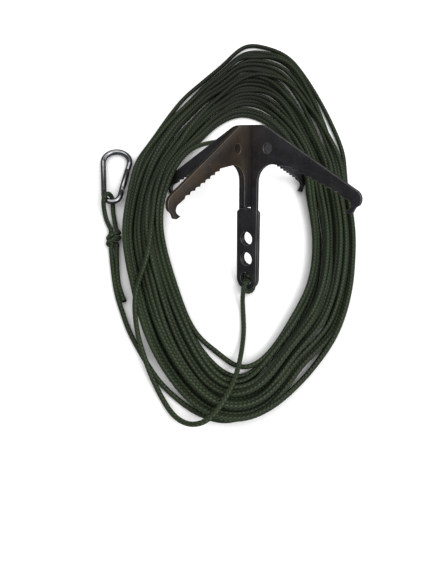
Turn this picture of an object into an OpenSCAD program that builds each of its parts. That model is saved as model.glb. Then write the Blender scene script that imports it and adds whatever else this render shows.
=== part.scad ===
// Grapnel anchor: two bent claw plates set back to back, a coiled line and a snap hook.
// Sizes in mm, +Z up. The origin is the middle of the anchor's footprint on the floor.
// The anchor rests on its two rear claws and on the round end of its tang.

/* [Claw plates] */
// Thickness of the steel sheet
plate_t = 3.5; // [2:0.5:6]
// Length of a plate, from the head to the end of the tang
plate_length = 165; // [140:1:220]
// Width of the tang, and of the shank where it is whole
tang_width = 24; // [20:1:34]
// Outer radius of the bend that runs down the shank
bend_outer_r = 5; // [4.5:0.5:9]
// Half the width of the flat at the top of the head
head_flat = 13; // [8:0.5:20]
// Radius from the flat of the head to the top line of the arm
shoulder_r = 19.2; // [10:0.1:30]
// Slope of the top line of the arm, in degrees
arm_slope = 29.8; // [20:0.1:38]
// Depth of the head over the throat
neck_depth = 35.4; // [28:0.1:42]
// Radius of the throat between arm and shank
throat_r = 17; // [10:0.5:24]
// Distance along the shank to the end of the bend
bend_length = 77.5; // [65:0.5:90]
// Width of the relief cut at the end of the bend
relief_gap = 2; // [1:0.25:4]

/* [Claws] */
// Distance from the axis to the outermost point of a claw
claw_reach = 117.2; // [100:0.1:140]
// Radius of the rounded end of the arm
claw_end_r = 8.6; // [6:0.1:12]
// Drop of the claw below the centre of the rounded end
claw_drop = 12.5; // [9:0.1:18]
// Reach of the claw's point back towards the shank
claw_hook = 5.8; // [3:0.1:9]

/* [Teeth] */
// Teeth along the underside of each arm
tooth_count = 8; // [4:1:12]
// Distance from the axis to the first tooth
tooth_first_r = 50.6; // [42:0.1:62]
// Distance from the last tooth to the centre of the rounded end
tooth_last_gap = 11.3; // [8:0.1:20]
// Depth of the arm at the first tooth
arm_depth_in = 21; // [16:0.1:26]
// Depth of the arm at the last tooth
arm_depth_out = 13.4; // [10:0.1:18]
// Height of the steep face of a tooth
tooth_height = 2.4; // [1:0.1:4]

/* [Holes] */
// Diameter of the holes in the tang
tang_hole_d = 14; // [8:0.5:16]
// Spacing of the holes in the tang
tang_hole_pitch = 21.5; // [18:0.5:30]
// Diameter of the hole in the head of each wing
head_hole_d = 9.5; // [5:0.5:13]
// Distance from the axis to the hole in the head
head_hole_r = 23; // [16:0.5:28]
// Distance from the top of the head to the same hole
head_hole_v = 21; // [14:0.5:24]

/* [Rope] */
// Diameter of the rope
rope_d = 5; // [3:0.1:5]
// Turns of rope in the lower layer of the coil
turns_low = 6; // [3:1:6]
// Turns of rope in the upper layer of the coil
turns_top = 7.8; // [4:0.1:7.8]
// Clearance between rope and what it passes
rope_gap = 0.45; // [0.4:0.05:1]

/* [Snap hook] */
// Diameter of the hook's wire
wire_d = 6; // [4:0.25:7]
// Radius of the wide end, at the middle of the wire
hook_big_r = 15.2; // [12:0.1:22]
// Radius of the narrow end, at the middle of the wire
hook_small_r = 9; // [7.5:0.1:11]
// Distance between the centres of the two ends
hook_span = 46.5; // [42:0.5:60]
// Distance from the narrow end's tangent point to the pivot
pivot_s = 10.5; // [8:0.1:14]
// Diameter of the gate's sleeve
gate_d = 6.6; // [5.5:0.1:7.5]
// Distance from the pivot to the top of the gate
gate_length = 26; // [20:0.5:30]
// Diameter of the gate's rivet
rivet_d = 2.4; // [1.5:0.1:3]
// Radial clearance of the rivet in the tongue
rivet_gap = 0.05; // [0.02:0.01:0.1]
// Thickness of the flat tongue that carries the gate
tongue_t = 2.4; // [1.5:0.1:3]
// Clearance on each side of the tongue
tongue_gap = 0.2; // [0.1:0.05:0.4]
// Diameter of the bore for spring and plunger
bore_d = 4.2; // [3:0.1:4.8]

/* [Hidden] */
$fn = 48;

steel = [0.17, 0.16, 0.16];
rope_colour = [0.16, 0.18, 0.13];
zinc = [0.72, 0.73, 0.75];

// ---- Outline of a wing: r away from the axis, v down the shank ----
tang_r = tang_width / 2;
arm_zero_r = head_flat + shoulder_r * tan(arm_slope / 2);
end_r = claw_reach - claw_end_r;
end_v = top_v(end_r) + claw_end_r / cos(arm_slope);
last_r = end_r - tooth_last_gap;
tooth_step = (last_r - tooth_first_r) / (tooth_count - 1);
throat_v = neck_depth + throat_r;

function top_v(r) = (r - arm_zero_r) * tan(arm_slope);
function arc(c, r, a, b, n) = [for (i = [0:n]) c + r * [cos(a + (b - a) * i / n), sin(a + (b - a) * i / n)]];
function tip(i) = [tooth_first_r + i * tooth_step,
  top_v(tooth_first_r + i * tooth_step) + arm_depth_in + (arm_depth_out - arm_depth_in) * i / (tooth_count - 1)];
function root(i) = tip(i) - [1, tooth_height];

head_edge = arc([head_flat, shoulder_r], shoulder_r, -90, arm_slope - 90, 6);
end_edge = arc([end_r, end_v], claw_end_r, arm_slope - 90, 34, 10);
claw_edge = [[end_r + 5.3, end_v + 5.9], [end_r + 4, end_v + 7], [end_r + 3, end_v + 0.7 * claw_drop],
  [end_r + 1.9, end_v + 0.92 * claw_drop], [end_r + 0.9, end_v + claw_drop - 0.3],
  [end_r - 0.6, end_v + claw_drop], [end_r - claw_hook, end_v + claw_drop - 1.7],
  [end_r - 2.9, end_v + 0.74 * claw_drop], [end_r - 0.8, end_v + 0.59 * claw_drop],
  [end_r - 0.1, end_v + 0.45 * claw_drop], [end_r - 0.4, end_v + 0.33 * claw_drop],
  [end_r - 1.2, end_v + 2.3], [end_r - 2.6, end_v + 1]];
tooth_edge = [for (i = [tooth_count - 1:-1:0]) for (p = i == tooth_count - 1 ? [tip(i)]
  : [root(i + 1), (root(i + 1) + tip(i)) / 2 - [0, 0.35], tip(i)]) p];
throat_edge = arc([tang_r + throat_r, throat_v], throat_r, 270, 180, 8);
arm_edge = concat(head_edge, end_edge, claw_edge, tooth_edge, [root(0)], throat_edge);

// ---- Rest on the floor: both rear claws and the end of the tang touch it ----
claw_rest = [for (p = arm_edge) [-(p[0] + plate_t) / sqrt(2), p[1]]];
tang_rest = [for (a = [0:1:90]) [-(tang_r * sin(a) + plate_t) / sqrt(2), plate_length - tang_r + tang_r * cos(a)]];
tang_front = [for (p = tang_rest) [-p[0], p[1]]];
function low(pts, a) = min([for (p = pts) p[0] * cos(a) - p[1] * sin(a)]);
function far(pts, a) = [for (p = pts) -p[1] * cos(a) - p[0] * sin(a)];
function find_lean(a, b, n) = n == 0 ? (a + b) / 2
  : low(claw_rest, (a + b) / 2) < low(tang_rest, (a + b) / 2) ? find_lean((a + b) / 2, b, n - 1)
  : find_lean(a, (a + b) / 2, n - 1);
lean = find_lean(10, 80, 40);
lift = -low(claw_rest, lean);
shift = -(max(far(claw_rest, lean)) + min(far(tang_front, lean))) / 2;
echo(lean = lean, lift = lift, shift = shift);

// A point of a plate, [u, w, v], on the floor's axes
function placed(p) = let (x = (p[0] - p[1]) / sqrt(2), n = (p[0] + p[1]) / sqrt(2))
  [x, -p[2] * cos(lean) - n * sin(lean) + shift, n * cos(lean) - p[2] * sin(lean) + lift];

// ---- Tubes ----
function unit(v) = v / norm(v);
function ways(p) = [for (i = [0:len(p) - 1]) unit(p[min(i + 1, len(p) - 1)] - p[max(i - 1, 0)])];
function square_to(s, w) = unit(s - (s * w) * w);
function walls(w) = [for (i = 0, s = unit(cross(w[0], [0.1, 0.05, 1])); i < len(w); i = i + 1,
  s = square_to(s, w[min(i, len(w) - 1)])) square_to(s, w[i])];
function rings(p, r, n) = let (w = ways(p), s = walls(w))
  [for (i = [0:len(p) - 1]) for (k = [0:n - 1]) p[i] + r * (cos(360 * (k + 0.5) / n) * s[i]
    + sin(360 * (k + 0.5) / n) * cross(w[i], s[i]))];
function skin(m, n) = concat([[for (k = [0:n - 1]) k]], [[for (k = [n - 1:-1:0]) (m - 1) * n + k]],
  [for (i = [0:m - 2]) for (k = [0:n - 1]) for (f = [[i * n + k, (i + 1) * n + k, (i + 1) * n + (k + 1) % n],
    [i * n + k, (i + 1) * n + (k + 1) % n, i * n + (k + 1) % n]]) f]);
module tube(p, r, n) {
  polyhedron(points = rings(p, r, n), faces = skin(len(p), n));
}

// ---- Coil: middle of the rope at 18 stations, counter-clockwise ----
// The upper layer's inner turn, the lower layer's, which keeps clear of the claws, and the outer turn
coil_in = [[-15, -148], [12, -134], [44, -101], [67, -58], [79, -7], [82, 50], [79, 86], [65, 123], [49, 147],
  [23, 163], [-9, 153], [-38, 125], [-70, 89], [-82, 45], [-84, 0], [-75, -62], [-58, -108], [-38, -137]];
coil_in_low = [[-15, -148], [12, -134], [44, -101], [67, -58], [82, -7], [89, 50], [87, 86], [70, 123], [49, 147],
  [23, 163], [-9, 153], [-45, 125], [-80, 92], [-90, 48], [-86, 0], [-75, -62], [-58, -108], [-38, -137]];
coil_out = [[-15, -200], [40, -176], [83, -131], [112, -78], [127, -13], [130, 60], [127, 107], [116, 163],
  [97, 223], [43, 279], [-22, 236], [-76, 172], [-107, 117], [-125, 58], [-129, -4], [-121, -70], [-102, -134],
  [-62, -186]];
layer_z = [rope_d / 2, rope_d * 1.5 + rope_gap];
function curve(a, b, c, d, t) = 0.5 * (2 * b + (c - a) * t + (2 * a - 5 * b + 4 * c - d) * t * t
  + (3 * b - a - 3 * c + d) * t * t * t);
function along(q, s) = let (i = floor(s), n = len(q))
  curve(q[(i + n - 1) % n], q[i % n], q[(i + 1) % n], q[(i + 2) % n], s - i);
function ease(t) = t <= 0 ? 0 : t >= 1 ? 1 : t * t * (3 - 2 * t);
function climb(u) = ease((u - turns_low + 0.25) * 2);
function coil_xy(u) = let (s = 18 * (u - floor(u)), e = climb(u),
    f = u < turns_low ? 1 - u / turns_low : (u - turns_low) / turns_top)
  (along(coil_in_low, s) * (1 - e) + along(coil_in, s) * e) * (1 - f) + along(coil_out, s) * f;
// The upper layer rides over the two rear claws
function over_claw(x, y) = min(12, max(0, 1.6 * (87.5 - abs(x)))) * ease((62 - abs(y - 62)) / 36);
function coil_point(u) = let (p = coil_xy(u))
  [p[0], p[1], layer_z[0] + (layer_z[1] - layer_z[0] + over_claw(p[0], p[1])) * climb(u)];
coil_steps = floor((turns_low + turns_top) * 24);
coil_path = [for (i = [0:coil_steps]) coil_point(i / 24)];
coil_start = coil_path[0];
coil_end = coil_path[coil_steps];
start_way = unit(coil_path[1] - coil_path[0]);
end_way = unit(coil_path[coil_steps] - coil_path[coil_steps - 1]);
function coil_near(i, a, b) = min([for (j = [i + a:min(i + b, coil_steps)]) norm(coil_path[i] - coil_path[j])]);
coil_gap = min([for (i = [0:coil_steps - 22]) coil_near(i, 20, 52)]) - rope_d;
echo(coil_gap = coil_gap);

// ---- Free stretches, in the order that the rope runs ----
knot_at = [-141, -5];
knot_north = 3.5;
knot_south = -14.5;
line_a = [[-144, knot_south, 3], [-144, -21, 3], [-143.3, -39, 2.6], [-141.5, -56, 2.6], [-138.2, -69, 2.6],
  [-135.5, -78, 2.6], [-132, -87, 2.6], [-128.5, -97, 2.6], [-123.5, -110, 2.6], [-117, -123.5, 2.6],
  [-110, -137, 2.6], [-101, -153, 2.6], [-91, -168.5, 2.6], [-80, -180.5, 2.6], [-67, -191, 2.6],
  [-50, -197, 2.6]];
line_b = [[-127.5, -42, 7.6], [-125.5, -56, 6.5], [-123, -70, 5], [-119, -88, 3], [-114, -106, 2.6], [-108, -121, 2.6],
  [-103, -135, 3.4], [-100, -146, 7], [-95, -157, 8.4], [-87, -168, 8.3], [-78, -179, 8.3], [-70, -187, 8.4],
  [-61, -192, 10], [-52, -192, 12.6], [-44, -187, 13.8], [-37, -178, 13.8], [-31, -168, 13.8], [-25, -157, 13.8],
  [-20, -146, 13.6], [-16, -136, 11], [-13, -127, 5.5], [-11, -117, 2.6], [-9, -102, 2.6], [-8, -89, 2.6],
  [-7, -78, 2.7]];
hook_leg = [[-138.4, knot_north, 3.6], [-138.4, 9.5, 3.6], [-140.6, 22, 2.6], [-142.2, 34, 2.6], [-142.8, 43, 2.6],
  [-143.2, 48.5, 3.2], [-144.2, 52.5, 6.4], [-146.4, 54.3, 10.8], [-150, 52.2, 13.9], [-152.6, 47.5, 14.2],
  [-153.8, 42.5, 12.2], [-153.8, 37.5, 8.6], [-152.8, 31.5, 4.8], [-150.8, 24, 2.8], [-147.2, 15, 2.8],
  [-144.2, 9.5, 3.6], [-144.2, knot_north, 3.6]];
tail = [[-138, knot_south, 3], [-138, -21, 3], [-137.5, -40, 2.6], [-135.8, -56, 2.6], [-132.5, -68, 2.6],
  [-130.3, -75, 2.6]];
// A turn and a quarter round the web of the end hole, as [u, w, v] of the plate. It crosses on the side of the
// web that stands clear of the floor, and the end is tucked into the hole.
hitch_w = plate_t + rope_d / 2 + 0.6;
hitch_h = (tang_width - tang_hole_d) / 4 + rope_d / 2 + 1;
hitch_v = plate_length - (tang_width - tang_hole_d) / 4 - 0.45;
hitch_u = (rope_d + rope_gap) / 2;
hitch_out = 4.6;
// A wave between round and square, so that the turns follow the web's section
function full_wave(x) = sign(x) * pow(abs(x), 0.66);
function hitch_side(a) = -hitch_u + (hitch_u + hitch_out) * ease((a - 130) / 70)
  - (hitch_out - hitch_u) * ease((a - 270) / 60);
hitch = concat([[-hitch_u - 0.2, hitch_w - 0.4, hitch_v + 6]],
  [for (a = [0:18:450]) [hitch_side(a), hitch_w * full_wave(cos(a)), hitch_v - hitch_h * full_wave(sin(a))]],
  [[hitch_u, -2.2, hitch_v - hitch_h]]);
// Half width and half height of the knot along its length
knot_rings = [[-14.5, 6.2, 3.8], [-12.5, 7, 4.6], [-8, 8, 5.4], [-3, 8.2, 5.6], [1, 7.4, 5], [3.5, 6, 4]];

// ---- Snap hook: x across, y from the narrow end to the wide end, z up ----
hook_flare = asin((hook_big_r - hook_small_r) / hook_span);
hook_run = hook_span * cos(hook_flare);
hook_turn = -5.25;
hook_rise = asin((rope_d + 0.3) / (hook_span + hook_big_r + hook_small_r));
hook_spot = [-142.4, 50.5, wire_d / 2 + (hook_span + hook_big_r) * sin(hook_rise)];
// Straight stretches are drawn a hair thinner, so that they end inside the curved ones
straight_d = wire_d - 0.02;
seam = 0.3;
shoulder_gap = 0.3;
ear_r = gate_d / 2;
nose_s = pivot_s + gate_length + shoulder_gap;
tongue_end_r = ear_r - 0.4;
slot_top = tongue_end_r + shoulder_gap;
head_s = pivot_s + gate_length - 3.6;
neck_d = 2.8;
head_d = 4.4;
head_t = 1.6;
bore_top = gate_length - 5.2;
spring_wall = 0.7;
echo(gate_axis = hook_rise, pivot = hook_world([hook_small_r * cos(hook_flare) + pivot_s * sin(hook_flare),
  -hook_small_r * sin(hook_flare) + pivot_s * cos(hook_flare), 0]));
function hook_world(p) = let (y = p[1] * cos(hook_rise) + p[2] * sin(hook_rise),
  z = -p[1] * sin(hook_rise) + p[2] * cos(hook_rise))
  hook_spot + [p[0] * cos(hook_turn) - y * sin(hook_turn), p[0] * sin(hook_turn) + y * cos(hook_turn), z];

module on_floor() {
  translate([0, shift, lift]) rotate([90 + lean, 0, 0]) rotate([0, 0, 45]) children();
}

module in_hook() {
  translate(hook_spot) rotate([0, 0, hook_turn]) rotate([-hook_rise, 0, 0]) children();
}

// Moves to the gate's line: z runs from the pivot's end of the tangent towards the nose
module on_gate(s) {
  in_hook() rotate([0, 0, -hook_flare]) translate([hook_small_r, s, 0]) children();
}

// One wing, standing in the plane of r and v with its outer face at zero
module wing() {
  linear_extrude(plate_t)
    polygon(concat([[bend_outer_r, 0]], arm_edge, [[tang_r, bend_length - 3]],
      arc([tang_r - 3, bend_length - 3], 3, 0, 90, 4), [[bend_outer_r, bend_length]]));
}

module tang() {
  linear_extrude(plate_t)
    polygon([[bend_outer_r, bend_length - 6], [tang_r, bend_length - 6], [tang_r, plate_length - tang_r],
      [-tang_r, plate_length - tang_r], [-tang_r, bend_length + relief_gap + 3.5],
      [4 - tang_r, bend_length + relief_gap], [bend_outer_r, bend_length + relief_gap]]);
  translate([0, plate_length - tang_r, 0]) cylinder(r = tang_r, h = plate_t);
}

module hole(x, y, d) {
  translate([x, y, -1]) cylinder(d = d, h = plate_t + 2);
}

module claw_plate() {
  // Flat half: arm, shank and tang
  translate([0, plate_t, 0]) rotate([90, 0, 0]) difference() {
    union() {
      wing();
      tang();
    }
    hole(head_hole_r, head_hole_v, head_hole_d);
    for (i = [0:2]) hole(0, plate_length - tang_r - i * tang_hole_pitch, tang_hole_d);
  }
  // Bent half: the second arm
  rotate([90, 0, 90]) difference() {
    wing();
    hole(head_hole_r, head_hole_v, head_hole_d);
  }
  // The bend itself
  translate([bend_outer_r, bend_outer_r, 0]) rotate([0, 0, 180])
    rotate_extrude(angle = 90) translate([bend_outer_r - plate_t, 0]) square([plate_t, bend_length]);
}

module claw_plate_front() {
  color(steel) on_floor() claw_plate();
}

module claw_plate_back() {
  color(steel) on_floor() rotate([0, 0, 180]) claw_plate();
}

module rope_coil() {
  color(rope_colour) tube(coil_path, rope_d / 2, 6);
}

module line_to_anchor() {
  color(rope_colour) tube(concat([coil_end, coil_end + 6 * end_way], line_b, [for (p = hitch) placed(p)]),
    rope_d / 2, 8);
}

module line_to_knot() {
  color(rope_colour) tube(concat(line_a, [coil_start - 6 * start_way, coil_start]), rope_d / 2, 8);
}

module loop_knot() {
  color(rope_colour) polyhedron(
    points = [for (q = knot_rings) for (k = [0:11]) [knot_at[0] + q[1] * cos(-30 * k), q[0],
      5.6 + q[2] * sin(-30 * k)]],
    faces = skin(len(knot_rings), 12));
}

module hook_loop() {
  color(rope_colour) tube(hook_leg, rope_d / 2, 8);
}

module rope_tail() {
  color(rope_colour) tube(tail, rope_d / 2, 8);
}

module hook_body() {
  color(zinc) {
    difference() {
      union() {
        in_hook() {
          translate([0, hook_span, 0]) rotate([0, 0, -hook_flare]) rotate_extrude(angle = 180 + 2 * hook_flare)
            translate([hook_big_r, 0]) circle(d = wire_d);
          rotate([0, 0, 180 + hook_flare]) rotate_extrude(angle = 180 - 2 * hook_flare)
            translate([hook_small_r, 0]) circle(d = wire_d);
          rotate([0, 0, 180 + hook_flare]) translate([hook_small_r, seam, 0]) rotate([90, 0, 0])
            cylinder(d = straight_d, h = hook_run + 2 * seam);
        }
        // Straight end that carries the tongue
        on_gate(-seam) rotate([-90, 0, 0]) cylinder(d = straight_d, h = pivot_s - ear_r - shoulder_gap + seam);
        on_gate(pivot_s) {
          translate([0, 0, -tongue_t / 2]) cylinder(r = tongue_end_r, h = tongue_t);
          translate([-tongue_end_r, -ear_r - shoulder_gap - 2, -tongue_t / 2])
            cube([2 * tongue_end_r, ear_r + shoulder_gap + 2, tongue_t]);
        }
        // Nose with its neck and head
        on_gate(nose_s) rotate([-90, 0, 0]) cylinder(d = straight_d, h = hook_run - nose_s + seam);
        on_gate(head_s) rotate([-90, 0, 0]) {
          translate([0, 0, 0.2]) cylinder(d = neck_d, h = nose_s - head_s + 1);
          cylinder(d = head_d, h = head_t);
        }
      }
      on_gate(pivot_s) cylinder(r = rivet_d / 2 + rivet_gap, h = 2 * tongue_t, center = true);
    }
  }
}

// A bore along y that is open towards +x
module open_slot(d, length) {
  rotate([-90, 0, 0]) cylinder(d = d, h = length);
  translate([0, 0, -d / 2]) cube([gate_d, length, d]);
}

module hook_gate() {
  color(zinc) on_gate(pivot_s) difference() {
    union() {
      rotate([-90, 0, 0]) cylinder(d = gate_d, h = gate_length);
      intersection() {
        rotate([90, 0, 0]) cylinder(d = gate_d, h = gate_d);
        cylinder(r = ear_r, h = gate_d, center = true);
      }
    }
    // Fork for the tongue
    translate([-gate_d, -gate_d, -tongue_t / 2 - tongue_gap])
      cube([2 * gate_d, gate_d + slot_top, tongue_t + 2 * tongue_gap]);
    cylinder(d = rivet_d, h = 2 * gate_d, center = true);
    // Bore for plunger and spring
    rotate([-90, 0, 0]) cylinder(d = bore_d, h = bore_top);
    // Seat for the nose, open on the outer side
    translate([0, head_s - pivot_s - 0.5, 0]) open_slot(head_d + 0.6, head_t + 1);
    translate([0, head_s - pivot_s, 0]) open_slot(neck_d + 0.6, gate_length);
  }
}

module gate_rivet() {
  color(zinc) on_gate(pivot_s) cylinder(d = rivet_d, h = gate_d - 0.4, center = true);
}

module gate_plunger() {
  color(zinc) on_gate(pivot_s) translate([0, slot_top, 0]) rotate([-90, 0, 0]) {
    cylinder(d = bore_d - 0.2, h = 2);
    cylinder(d = bore_d - 2 * spring_wall - 0.6, h = 9);
  }
}

module gate_spring() {
  color(zinc) on_gate(pivot_s) translate([0, slot_top + 2, 0]) rotate([-90, 0, 0]) difference() {
    cylinder(d = bore_d - 0.2, h = bore_top - slot_top - 2);
    translate([0, 0, -1]) cylinder(d = bore_d - 0.2 - 2 * spring_wall, h = bore_top);
  }
}

claw_plate_front();
claw_plate_back();
rope_coil();
line_to_anchor();
line_to_knot();
loop_knot();
hook_loop();
rope_tail();
hook_body();
hook_gate();
gate_rivet();
gate_plunger();
gate_spring();
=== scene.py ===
# %% [markdown]
# # A grapnel anchor with its line and snap hook
# The anchor is two steel plates, each cut flat and bent down the middle, set back to back so that four
# toothed arms stand in a cross. A braided cord is tied through the tang, lies round the anchor in a loose
# coil, and ends in a loop on a zinc snap hook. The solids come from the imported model. This file gives each
# piece its real surface: rounded edges on the plates, a laid and stacked cord, a bright hook. The cord is
# worked out in millimetres until its mesh is made. Everything else is in metres.

# %% Load the frame
import bmesh
import bpy
import math
import numpy as np
from mathutils import Matrix, Vector


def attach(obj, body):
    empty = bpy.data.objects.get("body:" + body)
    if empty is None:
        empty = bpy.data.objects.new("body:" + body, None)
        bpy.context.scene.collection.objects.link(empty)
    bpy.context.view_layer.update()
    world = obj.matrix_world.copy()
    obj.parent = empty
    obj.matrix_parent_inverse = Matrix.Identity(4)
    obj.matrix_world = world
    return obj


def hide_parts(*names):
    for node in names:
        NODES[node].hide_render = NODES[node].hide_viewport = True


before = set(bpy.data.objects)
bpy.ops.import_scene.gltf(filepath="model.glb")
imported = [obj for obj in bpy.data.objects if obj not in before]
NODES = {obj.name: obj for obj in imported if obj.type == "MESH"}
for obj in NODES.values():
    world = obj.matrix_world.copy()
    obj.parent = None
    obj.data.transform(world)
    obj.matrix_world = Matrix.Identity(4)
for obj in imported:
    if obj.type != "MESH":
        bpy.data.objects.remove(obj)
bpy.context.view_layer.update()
print("CAD nodes:", sorted(NODES))
scene = bpy.context.scene
scene.view_settings.view_transform = "Standard"

# %% [markdown]
# ## Camera
# The camera stands a little in front of the anchor and high over it, and looks down and slightly to the
# right. Its directions are written out, because a slight roll is easier to give as vectors than as angles.
# A normal field of about 50 degrees across keeps the near arms a little larger than the far ones.

# %% Camera
CAMERA_AT = Vector((-0.08031, -0.23480, 0.46172))
CAMERA_RIGHT = Vector((0.99491, -0.07280, 0.06967))
CAMERA_LOOK = Vector((0.09103, 0.35270, -0.93130))
IMAGE_ROWS, FOCAL_ROWS, SENSOR_MM = 570, 461.68, 24.0
NEAREST_SEEN = 0.01


def make_camera():
    look = CAMERA_LOOK.normalized()
    right = (CAMERA_RIGHT - CAMERA_RIGHT.dot(look) * look).normalized()
    up = right.cross(look)
    data = bpy.data.cameras.new("camera")
    data.sensor_fit = "VERTICAL"
    data.sensor_height = SENSOR_MM
    data.lens = FOCAL_ROWS / IMAGE_ROWS * SENSOR_MM
    data.clip_start = NEAREST_SEEN
    camera = bpy.data.objects.new("camera", data)
    camera.matrix_world = Matrix((
        (right.x, up.x, -look.x, CAMERA_AT.x),
        (right.y, up.y, -look.y, CAMERA_AT.y),
        (right.z, up.z, -look.z, CAMERA_AT.z),
        (0, 0, 0, 1)))
    scene.collection.objects.link(camera)
    scene.camera = camera
    print("camera lens", round(data.lens, 2), "mm, height", round(CAMERA_AT.z, 3), "m")


make_camera()

# %% [markdown]
# ## The route of the line
# The line is one cord. It leaves the knot at the snap hook, runs along the floor to the coil, goes round in
# a lower layer that works inwards and an upper layer that works outwards, crosses the coil and ends in a
# turn and a quarter through the last hole of the tang. Writing down every turn would take hundreds of
# points, so only the inner and the outer outline of the coil are given, and the cord slides from one to the
# other as it goes round. The outer outline has two stations for each one of the inner outline.

# %% Outlines of the coil, in millimetres
ROPE_D = 5.0
COIL_IN = [
    (-13, -150.5), (13, -138), (41.5, -102), (67, -60), (79, -7), (78.5, 48), (77, 85), (65, 121), (48, 142),
    (20, 159), (-10, 150), (-37, 123), (-60, 89), (-84, 43), (-88.5, 0), (-75.5, -62), (-60, -108),
    (-38, -131)]
COIL_OUT = [
    (-15, -201), (10.5, -191.6), (35.5, -175), (58.7, -155.1), (79, -132), (94.3, -107.5), (106.5, -80),
    (116.9, -47.7), (124.5, -13), (128, 23.7), (130, 58), (134, 83.1), (136, 106), (132, 131), (126, 160),
    (115.5, 197), (102.5, 232), (88.5, 258.5), (63, 275), (28, 277.5), (-9, 236.5), (-37, 210),
    (-65.5, 178), (-84.5, 144.5), (-104.5, 115), (-115, 86), (-121.5, 56), (-126, 26.4), (-128.4, -4),
    (-125.1, -37), (-118.5, -70), (-111.5, -100.6), (-101, -130), (-83.3, -161.4), (-62, -187),
    (-39.2, -199.2)]
STATIONS = len(COIL_IN)
TURNS_LOW, TURNS_TOP, TURNS_LAST = 11.7, 10.5, 0.575
COIL_END = TURNS_LOW + TURNS_TOP + TURNS_LAST
print("coil of", round(COIL_END, 1), "turns between", STATIONS, "and", len(COIL_OUT), "stations")

# %% Free stretches of the line, in millimetres
KNOT_TO_COIL = [
    (-144, -14.5), (-143.6, -21), (-141.8, -39), (-139.8, -56), (-137.2, -69), (-134.6, -79), (-130.8, -90),
    (-127.4, -102.5), (-122.2, -114), (-114, -130.4), (-105, -146.5), (-98, -158), (-90.5, -167),
    (-81.5, -176), (-71.7, -184.6), (-61.5, -191.8), (-50, -197), (-33, -201.5)]
COIL_TO_ANCHOR = [
    (-103, -26), (-112.3, -52), (-117.8, -79), (-117.6, -96), (-116.2, -114), (-111.5, -131.2),
    (-105.8, -149.8), (-97, -170.5), (-89.3, -185.3), (-81, -197), (-69.6, -203.5), (-62, -204.4),
    (-53.3, -201.4), (-44.5, -194), (-37, -184.5), (-31, -176), (-24.8, -166.5), (-18, -149.5),
    (-11.8, -130), (-8.2, -113), (-7.3, -99), (-7.0, -91)]
print("free stretches of", len(KNOT_TO_COIL), "and", len(COIL_TO_ANCHOR), "points")

# %% [markdown]
# ## Curves through points
# Cord has no corners, so every list of points becomes a smooth curve that passes through all of them. A
# curve object in Blender could do that, but the heights of the cord depend on where its turns lie, and that
# is easier to work out on plain arrays of numbers.

# %% Curves through points
FINE = 0.05


def between(a, b, c, d, t):
    """A point on the curve from b to c, where t goes from 0 to 1. The curve comes from a and goes on to d."""
    square, cube = 2 * a - 5 * b + 4 * c - d, 3 * b - a - 3 * c + d
    return 0.5 * (2 * b + (c - a) * t + square * t * t + cube * t ** 3)


def ring_at(stations, s):
    """Point of a closed outline, s counted in stations."""
    first = int(math.floor(s))
    near = (np.array(stations[(first + k) % len(stations)], float) for k in (-1, 0, 1, 2))
    return between(*near, s - first)


def run_along(path):
    """How far along the path each of its points lies."""
    return np.concatenate([[0], np.cumsum(np.linalg.norm(np.diff(path, axis=0), axis=1))])


def even(path, step):
    """The same path cut into equal steps."""
    run = run_along(path)
    marks = np.linspace(0, run[-1], max(2, int(round(run[-1] / step)) + 1))
    return np.stack([np.interp(marks, run, column) for column in path.T], 1)


def smooth_line(points, step):
    """An open curve through the points, cut into equal steps."""
    p = [np.array(q, float) for q in points]
    p = [2 * p[0] - p[1]] + p + [2 * p[-1] - p[-2]]
    fine = [between(*p[i:i + 4], t) for i in range(len(p) - 3) for t in np.arange(0, 1, FINE)]
    return even(np.array(fine + [p[-2]]), step)


def softened(path, spread):
    """The same path with its small kinks rounded off. The two ends stay where they are."""
    reach = int(3 * spread)
    weight = np.exp(-np.arange(-reach, reach + 1) ** 2 / (2 * spread ** 2))
    first, last = 2 * path[0] - path[reach:0:-1], 2 * path[-1] - path[-2:-reach - 2:-1]
    longer = np.concatenate([first, path, last])
    return np.stack([np.convolve(column, weight / weight.sum(), "valid") for column in longer.T], 1)


def ease(t):
    """A smooth step from 0 to 1."""
    t = np.clip(t, 0, 1)
    return t * t * (3 - 2 * t)


print("one inner turn is", round(run_along(np.array(COIL_IN + COIL_IN[:1]))[-1]), "mm")

# %% [markdown]
# ## Laying the cord down
# A cord that is thrown down in a coil lies on whatever is already there. So the plan is drawn first, seen
# from above, and the height comes second: each new stretch rests on the floor, on the cord that was laid
# before it, or on a claw, and it rises and falls gently because a cord can't step. The same could be had
# from a physics simulation, but laying it down in order is quick, exact and gives the same coil each time.
#
# In the plan, u counts the turns from the start of the coil, s counts stations round the outline from the
# front, and f is the share of the way from the inner outline to the outer one. A bump is given by the
# station of its middle and by half its length.

# %% How a turn departs from the plain outline
# Each wave has its size, its phase for each turn and for each radian round the coil, and its start.
WAVES = ((0.026, 2.3, 0.9, 0), (0.022, 4.1, -1.3, 2), (0.016, 7.3, 2.1, 4), (0.010, 1.1, -3.0, 1))
HALF_ROUND = STATIONS / 2
# The upper layer is all the way out this part of a turn early, and then slides in again to the crossing.
OUTSIDE_EARLY = 0.85
LAST_SLIDE, LAST_SLIDE_TURNS = 0.76, 0.56


def bump_at(s, middle, half):
    """1 at one station of the outline, 0 from half stations away."""
    return float(ease(1 - abs((s - middle + HALF_ROUND) % STATIONS - HALF_ROUND) / half))


def wander(u, angle):
    """Side-to-side drift of each turn, in shares of the coil's width."""
    return sum(size * math.sin(by_turn * u + by_angle * angle + start)
               for size, by_turn, by_angle, start in WAVES)


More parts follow.
